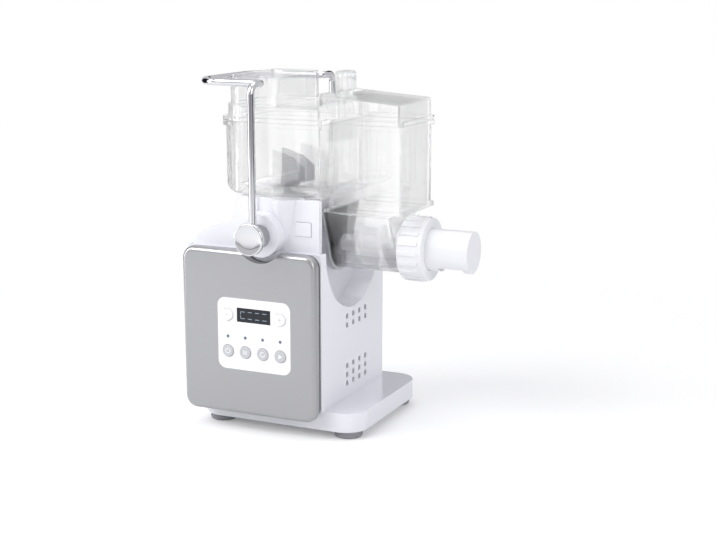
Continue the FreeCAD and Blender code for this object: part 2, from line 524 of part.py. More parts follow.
def make_container():
    bowl = bowl_block("bowl", "0", "neck_top_z", "rim_z")
    floor = SIZE["neck_top_z"]
    bowl = rounded("bowl_floor", bowl, "bowl_floor_round", lambda e: abs(e.CenterOfMass.z - floor) < 1e-6
                   and e.CenterOfMass.x < SIZE["bowl_right_x"] - 1)
    chamber = chamber_block("chamber", "0", "chamber_bottom_z", "rim_z", "bowl_right_x")
    rim = bowl_block("bowl_rim", "flange_out", "rim_z - flange_thickness", "rim_z")
    chamber_rim = chamber_block("chamber_rim", "flange_out", "rim_z - flange_thickness", "rim_z")
    foot_rim = chamber_block("chamber_foot_rim", "flange_out", "chamber_bottom_z",
                             "chamber_bottom_z + flange_thickness", "bowl_right_x")
    rails = block("gate_rails", "gate_x - gate_thickness / 2 - gate_rail",
                  "gate_x + gate_thickness / 2 + gate_rail", "-gate_half_width - gate_rail",
                  "gate_half_width + gate_rail", "neck_top_z", "rim_z")
    outer = join("container_outer", bowl, chamber, rim, chamber_rim, foot_rim, rails,
                 funnel("funnel", "0", "barrel_left_x", "funnel_right_x", "barrel_radius"),
                 drum("barrel", "x", "barrel_radius", "barrel_right_x - barrel_left_x",
                      "barrel_left_x", "0", "screw_z"))
    bowl_hollow = bowl_block("bowl_hollow", "-clear_wall", "neck_top_z + clear_wall", "rim_z + clear_wall")
    bowl_hollow = cut("bowl_hollow_railed", bowl_hollow,
                      block("bowl_rails", "gate_x - gate_thickness / 2 - gate_rail", "bowl_right_x",
                            "-gate_half_width - gate_rail", "gate_half_width + gate_rail",
                            "neck_top_z", "rim_z + 2 * clear_wall"))
    chamber_hollow = chamber_block("chamber_hollow", "-clear_wall", "chamber_bottom_z - clear_wall",
                                   "rim_z + clear_wall", "gate_x + gate_thickness / 2 + gate_rail")
    funnel_hollow = funnel("funnel_hollow", "clear_wall", "barrel_left_x + clear_wall",
                           "funnel_right_x - clear_wall", "barrel_bore")
    under_gate = block("under_gate", "barrel_left_x + clear_wall", "gate_x + 2 * gate_rail",
                       "clear_wall - chamber_half_depth", "chamber_half_depth - clear_wall",
                       "chamber_bottom_z - clear_wall", "chamber_bottom_z + clear_wall")
    bore = drum("barrel_hollow", "x", "barrel_bore", "barrel_right_x - barrel_left_x",
                "barrel_left_x + clear_wall", "0", "screw_z")
    shaft_hole = drum("barrel_shaft_hole", "x", "drive_shaft_radius + fit_gap", "4 * clear_wall",
                      "barrel_left_x - clear_wall", "0", "screw_z")
    opening = block("gate_opening", "gate_x - 3 * gate_rail", "gate_x + 3 * gate_rail",
                    "opening_side - gate_half_width", "gate_half_width - opening_side",
                    "gate_bottom_z + opening_side", "opening_top_z")
    slot = block("gate_slot", "gate_x - gate_thickness / 2 - gate_gap",
                 "gate_x + gate_thickness / 2 + gate_gap",
                 "-gate_half_width - gate_gap", "gate_half_width + gate_gap", "gate_bottom_z",
                 "rim_z + clear_wall")
    bush = drum("container_bush_hole", "z", "bush_radius", "3 * clear_wall", "paddle_x", "0",
                "neck_top_z - clear_wall")
    keep(cut("container_cut", outer, bowl_hollow, chamber_hollow, funnel_hollow, bore, shaft_hole,
             opening, slot, bush), "mixing_container")


# Gate between bowl and chamber, with its finger tab above the lid
def make_gate():
    plate = block("gate_plate", "gate_x - gate_thickness / 2", "gate_x + gate_thickness / 2",
                  "-gate_half_width", "gate_half_width", "gate_bottom_z + gate_gap", "rim_z + lid_wall")
    stem = block("gate_stem", "gate_x - gate_thickness / 2", "gate_x + gate_thickness / 2",
                 "-tab_half_width", "tab_half_width", "rim_z", TAB_BOTTOM_Z)
    tab = block("gate_tab", "gate_x - tab_thickness / 2", "gate_x + tab_thickness / 2",
                "-tab_half_width", "tab_half_width", TAB_BOTTOM_Z, TAB_TOP_Z)
    middle = SIZE["rim_z"] + SIZE["tab_rise"] + SIZE["tab_height"] / 2
    tab = rounded("gate_tab_round", tab, "tab_corner", along(X_AXIS, lambda c: c.z > middle))
    keep(join("gate_joined", plate, stem, tab), "chamber_gate")


# Lid over both chambers: flange, shoulder, raised block and sloping roof
def make_lid():
    flange = bowl_block("lid_flange", "flange_out", LID_Z, f"{LID_Z} + flange_thickness")
    right_flange = chamber_block("lid_right_flange", "flange_out", LID_Z, f"{LID_Z} + flange_thickness")
    shoulder = bowl_block("lid_shoulder", "-lid_inset", LID_Z, SHOULDER_TOP_Z)
    raised = block("lid_block", "block_left_x", "block_right_x", "-block_half_depth", "block_half_depth",
                   LID_Z, BLOCK_TOP_Z)
    raised = rounded("lid_block_round", raised, "block_corner", along(Z_AXIS))

    def roof(name, inset, left):
        return outline(name, "XZ_Plane", [
            (left, LID_Z), (left, f"{ROOF_HIGH_Z} - ({inset})"),
            (f"chamber_right_x - lid_inset - ({inset})", f"{ROOF_LOW_Z} - ({inset})"),
            (f"chamber_right_x - lid_inset - ({inset})", LID_Z)],
            f"lid_inset + ({inset}) - chamber_half_depth", f"chamber_half_depth - lid_inset - ({inset})")

    outer = join("lid_outer", flange, right_flange, shoulder, raised,
                 roof("lid_roof", "0", "gate_x - tab_thickness"))
    shoulder_hollow = bowl_block("lid_shoulder_hollow", "-lid_inset - lid_wall", "rim_z",
                                 f"{SHOULDER_TOP_Z} - lid_wall")
    raised_hollow = block("lid_block_hollow", "block_left_x + lid_wall", "block_right_x - lid_wall",
                          "lid_wall - block_half_depth", "block_half_depth - lid_wall", "rim_z",
                          f"{BLOCK_TOP_Z} - lid_wall")
    raised_hollow = rounded("lid_block_hollow_round", raised_hollow, "block_corner", along(Z_AXIS))
    roof_hollow = roof("lid_roof_hollow", "lid_wall", "gate_x - tab_thickness + lid_wall")
    under = block("lid_under_roof", "gate_x - tab_thickness + lid_wall",
                  "chamber_right_x - lid_inset - lid_wall",
                  "lid_inset + lid_wall - chamber_half_depth", "chamber_half_depth - lid_inset - lid_wall",
                  "rim_z", f"{LID_Z} + lid_wall")
    slot = block("lid_gate_slot", "gate_x - tab_thickness / 2 - lid_slot_gap",
                 "gate_x + tab_thickness / 2 + lid_slot_gap", "-gate_half_width - lid_slot_gap",
                 "gate_half_width + lid_slot_gap", "rim_z - lid_wall", f"{ROOF_HIGH_Z} + lid_wall")
    keep(cut("lid_cut", outer, shoulder_hollow, raised_hollow, roof_hollow, under, slot), "lid")


# Kneading paddle on its upright shaft, with bush and bearing
def make_paddle():
    hub = taper("paddle_hub", "z", "paddle_hub_radius", "paddle_tip_radius",
                "paddle_hub_top_z - paddle_bottom_z",
                "paddle_x", "0", "paddle_bottom_z")
    blade = outline("paddle_blade", "XZ_Plane", [
        ("paddle_x - paddle_tip_radius", "paddle_bottom_z"),
        ("paddle_x + blade_reach", "paddle_bottom_z + blade_low_rise"),
        ("paddle_x + blade_reach", "paddle_bottom_z + blade_high_rise"),
        ("paddle_x + blade_reach / 2", "paddle_top_z - blade_tip_drop"),
        ("paddle_x - paddle_tip_radius", "paddle_top_z")], "-blade_thickness / 2", "blade_thickness / 2")
    bore = drum("paddle_bore", "z", "paddle_shaft_radius", "shaft_top_z - paddle_bottom_z + 2 * running_gap",
                "paddle_x", "0", "paddle_bottom_z - running_gap")
    keep(cut("paddle_bored", join("paddle_joined", hub, blade), bore), "kneading_paddle")
    keep(drum("paddle_shaft_drum", "z", "paddle_shaft_radius", "shaft_top_z - screw_z - bevel_radius",
              "paddle_x", "0", "screw_z + bevel_radius"), "paddle_shaft")
    bush = drum("bush_drum", "z", "bush_radius", "clear_wall + body_wall + bush_collar", "paddle_x", "0",
                "neck_top_z - body_wall")
    keep(cut("bush_bored", bush, drum("bush_bore", "z", "paddle_shaft_radius + running_gap", "4 * clear_wall",
                                      "paddle_x", "0", "neck_top_z - 2 * body_wall")), "paddle_bush")
    bearing = drum("paddle_bearing_drum", "z", "bearing_radius", "bearing_width", "paddle_x", "0",
                   "neck_top_z - body_wall - bearing_width")
    keep(cut("paddle_bearing_bored", bearing,
             drum("paddle_bearing_bore", "z", "paddle_shaft_radius + running_gap", "2 * bearing_width",
                  "paddle_x", "0", "neck_top_z - body_wall - 1.5 * bearing_width")), "paddle_bearing")


# Extruder: screw, end plate, shaping disc, nozzle cap and locking ring
def make_screw():
    start = SIZE["barrel_left_x"] + SIZE["clear_wall"] + SIZE["screw_gap"]
    end = SIZE["barrel_right_x"] - SIZE["screw_gap"]
    length = end - start
    core = Part.makeCylinder(SIZE["screw_core_radius"], length, FreeCAD.Vector(0, 0, 0), Z_AXIS)
    span = length - 2 * SIZE["flight_width"]
    inner = SIZE["drive_shaft_radius"]
    helix = Part.makeHelix(SIZE["flight_pitch"], span, inner)
    low = SIZE["flight_width"] / 2
    corners = [FreeCAD.Vector(inner, 0, -low), FreeCAD.Vector(SIZE["flight_radius"], 0, -low),
               FreeCAD.Vector(SIZE["flight_radius"], 0, low), FreeCAD.Vector(inner, 0, low)]
    profile = Part.makePolygon(corners + corners[:1])
    flight = Part.Wire(helix).makePipeShell([profile], True, True)
    flight.translate(FreeCAD.Vector(0, 0, SIZE["flight_width"]))
    screw = core.fuse(flight)
    screw = screw.removeSplitter()
    screw.rotate(FreeCAD.Vector(0, 0, 0), Y_AXIS, 90)
    screw.translate(FreeCAD.Vector(start, 0, SIZE["screw_z"]))
    shaped("extruder_screw", screw)


def make_extruder():
    make_screw()
    plate = join("end_plate_joined",
                 outline("end_plate_upper", "YZ_Plane", [
                     ("-chamber_half_depth - end_plate_out", "chamber_bottom_z - fit_gap"),
                     ("-barrel_radius - end_plate_out", "screw_z"),
                     ("barrel_radius + end_plate_out", "screw_z"),
                     ("chamber_half_depth + end_plate_out", "chamber_bottom_z - fit_gap")],
                     "barrel_left_x - end_plate_thickness", "barrel_left_x"),
                 drum("end_plate_lower", "x", "barrel_radius + end_plate_out", "end_plate_thickness",
                      "barrel_left_x - end_plate_thickness", "0", "screw_z"))
    keep(cut("end_plate_bored", plate, drum("end_plate_bore", "x", "drive_shaft_radius + fit_gap",
                                            "2 * end_plate_thickness",
                                            "barrel_left_x - 1.5 * end_plate_thickness", "0", "screw_z")),
         "barrel_end_plate")
    die = drum("die_drum", "x", "die_radius", "die_thickness", DIE_X, "0", "screw_z")
    holes = []
    for ring, count in (("inner", int(SIZE["die_inner_count"])), ("outer", int(SIZE["die_outer_count"]))):
        for n in range(count):
            turn = 2 * math.pi * n / count
            holes.append(drum(f"die_hole_{ring}_{n}", "x", "die_hole_radius", "2 * die_thickness",
                              f"{DIE_X} - die_thickness / 2", f"die_{ring}_ring * {math.cos(turn)}",
                              f"screw_z + die_{ring}_ring * {math.sin(turn)}"))
    keep(cut("die_drilled", die, *holes), "shaping_disc")
    flange = drum("cap_flange", "x", "barrel_radius", "cap_flange_thickness", CAP_X, "0", "screw_z")
    tube = drum("cap_tube", "x", "cap_radius", f"cap_end_x - {CAP_X}", CAP_X, "0", "screw_z")
    hollow = drum("cap_hollow", "x", "cap_radius - cap_wall", f"cap_end_x - cap_wall - {CAP_X} + cut_over",
                  f"{CAP_X} - cut_over", "0", "screw_z")
    outlet = block("cap_outlet", "outlet_left_x", "outlet_left_x + outlet_length", "-outlet_half_width",
                   "outlet_half_width", "screw_z - 2 * cap_radius", "screw_z")
    keep(cut("cap_cut", join("cap_joined", flange, tube), hollow, outlet), "nozzle_cap")
    lip_x = f"({CAP_X} + cap_flange_thickness + lid_gap)"
    ring = drum("ring_drum", "x", "ring_radius", f"{lip_x} + ring_lip - ring_left_x", "ring_left_x",
                "0", "screw_z")
    ribs = []
    for n in range(int(SIZE["rib_count"])):
        rib = block(f"ring_rib_{n}", "ring_left_x + rib_start", f"{lip_x} + ring_lip - rib_end",
                    "-rib_width / 2", "rib_width / 2", "screw_z", "screw_z + ring_radius + rib_height")
        turn = 360.0 * n / SIZE["rib_count"]
        rib.Placement.Rotation = FreeCAD.Rotation(X_AXIS, turn)
        across = math.cos(math.radians(turn))
        up = math.sin(math.radians(turn))
        bind(rib, "Placement.Base.y", f"-rib_width / 2 * {across}")
        bind(rib, "Placement.Base.z", f"screw_z - rib_width / 2 * {up}")
        ribs.append(rib)
    bore = drum("ring_bore", "x", "barrel_radius + thread_gap", f"{lip_x} - ring_left_x + cut_over",
                "ring_left_x - cut_over", "0", "screw_z")
    mouth = drum("ring_mouth", "x", "cap_radius + thread_gap", "3 * ring_lip",
                 f"{lip_x} - ring_lip", "0", "screw_z")
    keep(cut("ring_cut", join("ring_joined", ring, *ribs), bore, mouth), "locking_ring")


# Release button in the tower's front wall
def make_release():
    button = block("release_block", "release_x - release_width / 2", "release_x + release_width / 2",
                   "-tower_half_depth - release_proud", "saddle_y - saddle_radius",
                   "release_z - release_height / 2", "release_z + release_height / 2")
    keep(button, "release_button")


# Drive: motor, two gear stages, bevel pair and shafts
def gear_shape(teeth, x, z, bore, rest_turn):
    """Spur gear about an X axis, with straight sided teeth."""
    module = SIZE["gear_module"]
    pitch = teeth * module / 2
    tip = pitch + SIZE["tooth_height"] * module
    root = pitch - 2 * SIZE["tooth_height"] * module
    step = 2 * math.pi / teeth
    root_share = SIZE["tooth_root_share"]
    tip_share = SIZE["tooth_tip_share"]
    corners = []
    for n in range(int(teeth)):
        middle = n * step + rest_turn
        for radius, share in ((root, -root_share), (tip, -tip_share), (tip, tip_share), (root, root_share)):
            turn = middle + share * step
            corners.append(FreeCAD.Vector(x, radius * math.sin(turn), z + radius * math.cos(turn)))
    face = Part.Face(Part.makePolygon(corners + corners[:1]))
    gear = face.extrude(FreeCAD.Vector(SIZE["gear_width"], 0, 0))
    hole = Part.makeCylinder(bore, 3 * SIZE["gear_width"], FreeCAD.Vector(x - SIZE["gear_width"], 0, z), X_AXIS)
    return gear.cut(hole)


def make_drive():
    gear_plate_x = SIZE["saddle_inner_x"] - SIZE["body_wall"] - SIZE["gear_plate_thickness"]
    first_x = gear_plate_x - SIZE["gear_space"] - SIZE["gear_width"]
    second_x = first_x - SIZE["gear_space"] - SIZE["gear_width"]
    half_module = SIZE["gear_module"] / 2
    idler_z = SIZE["screw_z"] - half_module * (SIZE["idler_small_teeth"] + SIZE["output_teeth"])
    motor_z = idler_z - half_module * (SIZE["pinion_teeth"] + SIZE["idler_large_teeth"])
    motor_bore = SIZE["motor_shaft_radius"]
    pin_bore = SIZE["pin_radius"] + SIZE["running_gap"]
    facing_gap = math.pi + math.pi / SIZE["idler_large_teeth"]
    small_facing_gap = math.pi / SIZE["idler_small_teeth"]
    shaped("motor_pinion", gear_shape(SIZE["pinion_teeth"], first_x, motor_z, motor_bore, 0.0))
    shaped("idler_large_gear", gear_shape(SIZE["idler_large_teeth"], first_x, idler_z, pin_bore, facing_gap))
    shaped("idler_small_gear", gear_shape(SIZE["idler_small_teeth"], second_x, idler_z, pin_bore,
                                          small_facing_gap))
    shaped("output_gear", gear_shape(SIZE["output_teeth"], second_x, SIZE["screw_z"],
                                     SIZE["drive_shaft_radius"], math.pi))
    keep(drum("idler_pin_drum", "x", "pin_radius", f"{GEAR_PLATE_X} - {SECOND_GEAR_X} + gear_space",
              f"{SECOND_GEAR_X} - gear_space", "0", IDLER_Z), "idler_pin")
    shaft_left = f"({MOTOR_RIGHT} - motor_length - fan_width - 2 * fan_gap)"
    rotor = join("rotor_joined",
                 drum("rotor_shaft", "x", "motor_shaft_radius", f"{GEAR_PLATE_X} - {shaft_left}",
                      shaft_left, "0", MOTOR_Z),
                 drum("rotor_core", "x", "rotor_radius", "rotor_length",
                      f"{MOTOR_RIGHT} - motor_length / 2 - rotor_length / 2", "0", MOTOR_Z))
    keep(rotor, "motor_rotor")
    can = drum("can_drum", "x", "motor_radius", "motor_length", f"{MOTOR_RIGHT} - motor_length", "0", MOTOR_Z)
    can_bore = drum("can_bore", "x", "rotor_radius + rotor_gap", "motor_length - 2 * can_end",
                    f"{MOTOR_RIGHT} - motor_length + can_end", "0", MOTOR_Z)
    can_hole = drum("can_hole", "x", "motor_shaft_radius + running_gap", "2 * motor_length",
                    f"{MOTOR_RIGHT} - 1.5 * motor_length", "0", MOTOR_Z)
    keep(cut("can_cut", can, can_bore, can_hole), "motor_can")
    fan = drum("fan_disc", "x", "fan_radius", "fan_width",
               f"{MOTOR_RIGHT} - motor_length - fan_gap - fan_width", "0", MOTOR_Z)
    fan_bore = drum("fan_bore", "x", "motor_shaft_radius", "3 * fan_width",
                    f"{MOTOR_RIGHT} - motor_length - fan_gap - 2 * fan_width", "0", MOTOR_Z)
    blades = []
    for n in range(int(SIZE["fan_slots"])):
        slot = block(f"fan_slot_{n}", f"{MOTOR_RIGHT} - motor_length - fan_gap - fan_width",
                     f"{MOTOR_RIGHT} - motor_length - fan_gap - fan_back", "-fan_slot_width / 2",
                     "fan_slot_width / 2", f"{MOTOR_Z} + fan_slot_inner",
                     f"{MOTOR_Z} + fan_radius + fan_slot_over")
        turn = 360.0 * n / SIZE["fan_slots"]
        slot.Placement.Rotation = FreeCAD.Rotation(X_AXIS, turn)
        across = math.cos(math.radians(turn))
        up = math.sin(math.radians(turn))
        bind(slot, "Placement.Base.y", f"-fan_slot_width / 2 * {across} - fan_slot_inner * {up}")
        bind(slot, "Placement.Base.z", f"{MOTOR_Z} - fan_slot_width / 2 * {up} + fan_slot_inner * {across}")
        blades.append(slot)
    keep(cut("fan_cut", fan, fan_bore, *blades), "cooling_fan")
    bracket_x = f"({MOTOR_RIGHT} - motor_length / 2 - bracket_length / 2)"
    bracket = block("bracket_block", bracket_x, f"{bracket_x} + bracket_length", "-bracket_half_width",
                    "bracket_half_width", "foot_height + cover_thickness", f"{MOTOR_Z} - bracket_height")
    bracket_cut = drum("bracket_cut", "x", "motor_radius", "2 * motor_length",
                       f"{MOTOR_RIGHT} - 1.5 * motor_length", "0", MOTOR_Z)
    keep(cut("bracket_hollow", bracket, bracket_cut), "motor_bracket")
    plate = block("gear_plate_block", GEAR_PLATE_X, LINER_X, "-gear_plate_half_width", "gear_plate_half_width",
                  f"{MOTOR_Z} - gear_plate_margin", "screw_z + gear_plate_margin")
    seats = [drum("motor_seat", "x", "bearing_radius", "2 * gear_plate_thickness",
                  f"{GEAR_PLATE_X} - gear_plate_thickness / 2", "0", MOTOR_Z),
             drum("output_seat", "x", "bearing_radius", "2 * gear_plate_thickness",
                  f"{GEAR_PLATE_X} - gear_plate_thickness / 2", "0", "screw_z")]
    keep(cut("gear_plate_bored", plate, *seats), "gear_plate")
    keep(drum("motor_bearing_drum", "x", "bearing_radius", "gear_plate_thickness", GEAR_PLATE_X, "0", MOTOR_Z),
         "motor_bearing")
    bearing = drum("output_bearing_drum", "x", "bearing_radius", "gear_plate_thickness", GEAR_PLATE_X, "0",
                   "screw_z")
    keep(cut("output_bearing_bored", bearing,
             drum("output_bearing_bore", "x", "drive_shaft_radius + running_gap", "3 * gear_plate_thickness",
                  f"{GEAR_PLATE_X} - gear_plate_thickness", "0", "screw_z")), "output_bearing")
    shaft_start = "(paddle_x + bevel_radius)"
    keep(drum("output_shaft_drum", "x", "drive_shaft_radius",
              f"barrel_left_x + clear_wall + screw_gap - {shaft_start}", shaft_start, "0", "screw_z"),
         "output_shaft")
    keep(taper("bevel_driver_cone", "x", "bevel_radius - bevel_width - bevel_gap", "bevel_radius - bevel_gap",
               "bevel_width", "paddle_x + bevel_radius - bevel_width", "0", "screw_z"), "bevel_driver")
    keep(taper("bevel_driven_cone", "z", "bevel_radius - bevel_width - bevel_gap", "bevel_radius - bevel_gap",
               "bevel_width", "paddle_x", "0", "screw_z + bevel_radius - bevel_width"), "bevel_driven")


# Power inlet and the switch that feels the container
def make_electrics():
    inlet = block("inlet_block", f"{INLET_X} - inlet_width / 2", f"{INLET_X} + inlet_width / 2",
                  f"{BODY_BACK} - inlet_depth", f"{BODY_BACK} + inlet_proud",
                  "inlet_z - inlet_height / 2", "inlet_z + inlet_height / 2")
    socket = block("inlet_socket", f"{INLET_X} - inlet_width / 2 + socket_wall",
                   f"{INLET_X} + inlet_width / 2 - socket_wall", f"{BODY_BACK} + inlet_proud - socket_depth",
                   f"{BODY_BACK} + 2 * inlet_proud", "inlet_z - inlet_height / 2 + socket_wall",
                   "inlet_z + inlet_height / 2 - socket_wall")
    keep(cut("inlet_cut", inlet, socket), "power_inlet")
    keep(block("switch_block", f"{LINER_X} - switch_length", LINER_X, "switch_y", "switch_y + switch_width",
               "neck_top_z - body_wall - switch_height", "neck_top_z - body_wall"), "container_switch")


make_housing()
make_base()
make_panel()
make_controls()
make_handle()
make_container()
make_gate()
make_lid()
make_paddle()
make_extruder()
make_release()
make_drive()
make_electrics()
doc.recompute()

for item in doc.Objects:
    if "Invalid" in item.State or "Error" in item.State:
        raise RuntimeError(f"{item.Name} failed: {item.State}")
for item in parts:
    if item.Shape.isNull() or not item.Shape.isValid():
        raise RuntimeError(f"{item.Label} has no valid shape")

os.makedirs("parts", exist_ok=True)
for item in parts:
    item.Shape.exportStep(f"parts/{item.Label}.step")
    print(item.Label, len(item.Shape.Solids), round(item.Shape.Volume))
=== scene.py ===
import json
import math

import bmesh
import bpy
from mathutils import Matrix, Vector


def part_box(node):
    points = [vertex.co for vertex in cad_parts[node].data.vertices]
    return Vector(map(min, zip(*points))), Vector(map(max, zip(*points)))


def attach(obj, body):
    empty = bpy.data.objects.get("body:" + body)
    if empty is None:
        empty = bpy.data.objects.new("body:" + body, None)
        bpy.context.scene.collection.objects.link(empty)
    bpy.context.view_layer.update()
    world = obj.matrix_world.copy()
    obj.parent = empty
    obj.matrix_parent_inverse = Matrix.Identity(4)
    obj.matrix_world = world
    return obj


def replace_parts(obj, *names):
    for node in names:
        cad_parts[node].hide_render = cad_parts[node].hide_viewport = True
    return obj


# A countertop electric pasta maker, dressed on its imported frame.
# Metres, +Z up, front panel towards -Y, extruder towards +X.

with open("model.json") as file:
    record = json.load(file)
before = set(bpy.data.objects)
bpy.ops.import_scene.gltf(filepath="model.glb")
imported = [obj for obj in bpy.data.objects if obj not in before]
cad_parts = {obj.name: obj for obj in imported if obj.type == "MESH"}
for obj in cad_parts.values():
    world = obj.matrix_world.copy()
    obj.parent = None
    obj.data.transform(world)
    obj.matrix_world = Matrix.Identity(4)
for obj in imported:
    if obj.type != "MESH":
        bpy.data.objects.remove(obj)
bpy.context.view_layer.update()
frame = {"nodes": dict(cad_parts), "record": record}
nodes = frame["nodes"]

MM = 0.001
TURN = 2 * math.pi
UPRIGHT = math.radians(90)


def middle(node):
    """Middle of a CAD node's box at rest."""
    low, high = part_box(node)
    return (Vector(low) + Vector(high)) / 2


def span(node):
    """Size of a CAD node's box at rest."""
    low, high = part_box(node)
    return Vector(high) - Vector(low)


# Materials: grain in object space mixes colour and shade, spreads the roughness and gives the bump
COAT_ROUGHNESS = 0.06
GRAIN_DETAIL = 5.0
GRAIN_DEPTH = 0.1 * MM


def finish(name, colour, shade, rough, scale, bump, stretch=(1, 1, 1), metallic=0.0, coat=0.0,
           transmission=0.0, ior=1.48, alpha=1.0):
    material = bpy.data.materials.new(name)
    material.use_nodes = True
    tree = material.node_tree
    shader = tree.nodes["Principled BSDF"]
    shader.inputs["Metallic"].default_value = metallic
    shader.inputs["Coat Weight"].default_value = coat
    shader.inputs["Coat Roughness"].default_value = COAT_ROUGHNESS
    shader.inputs["Transmission Weight"].default_value = transmission
    shader.inputs["IOR"].default_value = ior
    shader.inputs["Alpha"].default_value = alpha
    place = tree.nodes.new("ShaderNodeTexCoord")
    mapping = tree.nodes.new("ShaderNodeMapping")
    mapping.inputs["Scale"].default_value = stretch
    grain = tree.nodes.new("ShaderNodeTexNoise")
    grain.inputs["Scale"].default_value = scale
    grain.inputs["Detail"].default_value = GRAIN_DETAIL
    tone = tree.nodes.new("ShaderNodeMix")
    tone.data_type = "RGBA"
    tone.inputs["A"].default_value = (*shade, 1)
    tone.inputs["B"].default_value = (*colour, 1)
    gloss = tree.nodes.new("ShaderNodeMapRange")
    gloss.inputs["To Min"].default_value = rough[0]
    gloss.inputs["To Max"].default_value = rough[1]
    relief = tree.nodes.new("ShaderNodeBump")
    relief.inputs["Strength"].default_value = bump
    relief.inputs["Distance"].default_value = GRAIN_DEPTH
    tree.links.new(place.outputs["Object"], mapping.inputs["Vector"])
    tree.links.new(mapping.outputs["Vector"], grain.inputs["Vector"])
    tree.links.new(grain.outputs["Fac"], tone.inputs["Factor"])
    tree.links.new(tone.outputs["Result"], shader.inputs["Base Color"])
    tree.links.new(grain.outputs["Fac"], gloss.inputs["Value"])
    tree.links.new(gloss.outputs["Result"], shader.inputs["Roughness"])
    tree.links.new(grain.outputs["Fac"], relief.inputs["Height"])
    tree.links.new(relief.outputs["Normal"], shader.inputs["Normal"])
    return material


# Colour, its darker shade, roughness from and to, grain per metre and bump
LOOKS = {
    "white_plastic": ((0.86, 0.86, 0.90), (0.82, 0.82, 0.87), (0.16, 0.26), 900, 0.10),
    "light_plastic": ((0.88, 0.88, 0.90), (0.84, 0.84, 0.87), (0.25, 0.38), 800, 0.15),
    "white_fascia": ((0.93, 0.93, 0.94), (0.90, 0.90, 0.92), (0.18, 0.28), 1200, 0.06),
    "white_key": ((0.89, 0.89, 0.90), (0.85, 0.85, 0.87), (0.30, 0.42), 1500, 0.12),
    "grey_key": ((0.58, 0.58, 0.60), (0.53, 0.53, 0.55), (0.30, 0.45), 1500, 0.18),
    "silver_panel": ((0.46, 0.46, 0.47), (0.41, 0.41, 0.42), (0.24, 0.34), 2200, 0.20),
    "dark_trim": ((0.12, 0.12, 0.13), (0.08, 0.08, 0.09), (0.12, 0.22), 900, 0.08),
    "display_black": ((0.010, 0.012, 0.020), (0.006, 0.007, 0.012), (0.06, 0.12), 900, 0.03),
    "chrome": ((0.74, 0.74, 0.76), (0.68, 0.68, 0.70), (0.03, 0.08), 700, 0.05),
    "clear_plastic": ((1.0, 1.0, 1.0), (0.99, 0.995, 0.995), (0.0, 0.015), 260, 0.02),
    # Darker colour for the bevelled edges of clear plastic: painted shade along the edges
    "clear_edge_painted_shade": ((0.20, 0.21, 0.23), (0.14, 0.15, 0.17), (0.04, 0.10), 260, 0.02),
    "grey_plastic": ((0.34, 0.34, 0.36), (0.28, 0.28, 0.30), (0.32, 0.46), 1100, 0.25),
    "grey_rubber": ((0.33, 0.33, 0.35), (0.26, 0.26, 0.28), (0.60, 0.80), 1800, 0.55),
    "steel": ((0.55, 0.55, 0.57), (0.48, 0.48, 0.50), (0.22, 0.38), 600, 0.20),
    "board_green": ((0.04, 0.20, 0.10), (0.03, 0.14, 0.07), (0.35, 0.50), 1600, 0.20),
    "lamp_lens": ((0.16, 0.20, 0.28), (0.12, 0.15, 0.22), (0.10, 0.20), 900, 0.05),
    "gear_plastic": ((0.76, 0.73, 0.64), (0.70, 0.67, 0.58), (0.35, 0.50), 900, 0.20),
    "black_plastic": ((0.03, 0.03, 0.03), (0.02, 0.02, 0.02), (0.35, 0.50), 1000, 0.30),
    "icon_white": ((0.90, 0.90, 0.91), (0.86, 0.86, 0.88), (0.35, 0.45), 1500, 0.05),
    "icon_grey": ((0.66, 0.66, 0.67), (0.62, 0.62, 0.63), (0.35, 0.45), 1500, 0.05),
    "segment": ((0.30, 0.37, 0.44), (0.24, 0.31, 0.38), (0.25, 0.35), 1500, 0.03),
}
EXTRAS = {
    "white_plastic": {"coat": 0.3},
    "silver_panel": {"metallic": 0.85},
    "dark_trim": {"metallic": 0.4},
    "chrome": {"metallic": 1.0},
    "clear_plastic": {"transmission": 1.0, "ior": 1.45, "alpha": 0.55},
    "clear_edge_painted_shade": {"transmission": 0.4, "ior": 1.45, "alpha": 0.7},
    "steel": {"stretch": (0.1, 3, 3), "metallic": 1.0},
    "lamp_lens": {"coat": 0.5},
}
FINISHES = {name: finish(name, *look, **EXTRAS.get(name, {})) for name, look in LOOKS.items()}


# CAD nodes keep their place, and get their finish and soft edges, with widths in mm here
SOFT_EDGES = {
    "main_housing": 0.8, "front_panel": 0.4, "panel_trim": 0.5, "mixing_container": 0.7, "lid": 0.8,
    "chamber_gate": 0.7, "locking_ring": 0.7, "nozzle_cap": 1.0, "release_button": 0.5,
    "barrel_end_plate": 0.6, "base_cover": 0.4, "control_fascia": 0.2, "display_window": 0.15,
    "front_pivot_hub": 0.6, "rear_pivot_hub": 0.6, "power_inlet": 0.4,
}
CLEAR_NODES = ("mixing_container", "lid", "chamber_gate")
WELD_REACH = 0.001 * MM
SOFT_EDGE_STEPS = 3
SOFT_EDGE_ANGLE = math.radians(32)


def dress(node, material):
    """Finish and soft edges of a CAD node. The soft edges of clear plastic get a darker material, a painted
    shade along them.
    """
    item = nodes[node]
    for holder in item.material_slots:
        holder.link = "OBJECT"
        holder.material = material
    if node in SOFT_EDGES:
        weld = item.modifiers.new("weld", "WELD")
        weld.merge_threshold = WELD_REACH
        bevel = item.modifiers.new("soft_edges", "BEVEL")
        bevel.width = SOFT_EDGES[node] * MM
        bevel.segments = SOFT_EDGE_STEPS
        bevel.limit_method = "ANGLE"
        bevel.angle_limit = SOFT_EDGE_ANGLE
        bevel.harden_normals = True
        # The bevels of clear plastic take the darker material: painted shade along its edges
        if node in CLEAR_NODES:
            item.data.materials.append(FINISHES["clear_edge_painted_shade"])
            bevel.material = len(item.data.materials) - 1


for entry in frame["record"]["subparts"]:
    dress(entry["node"], FINISHES[entry["material_slot"]])


# Mesh helpers
LATHE_STEPS = 96
ARC_STEPS = 28
CRISP_ANGLE = math.radians(50)
MARK_EDGE = 0.04 * MM
MARK_EDGE_STEPS = 2


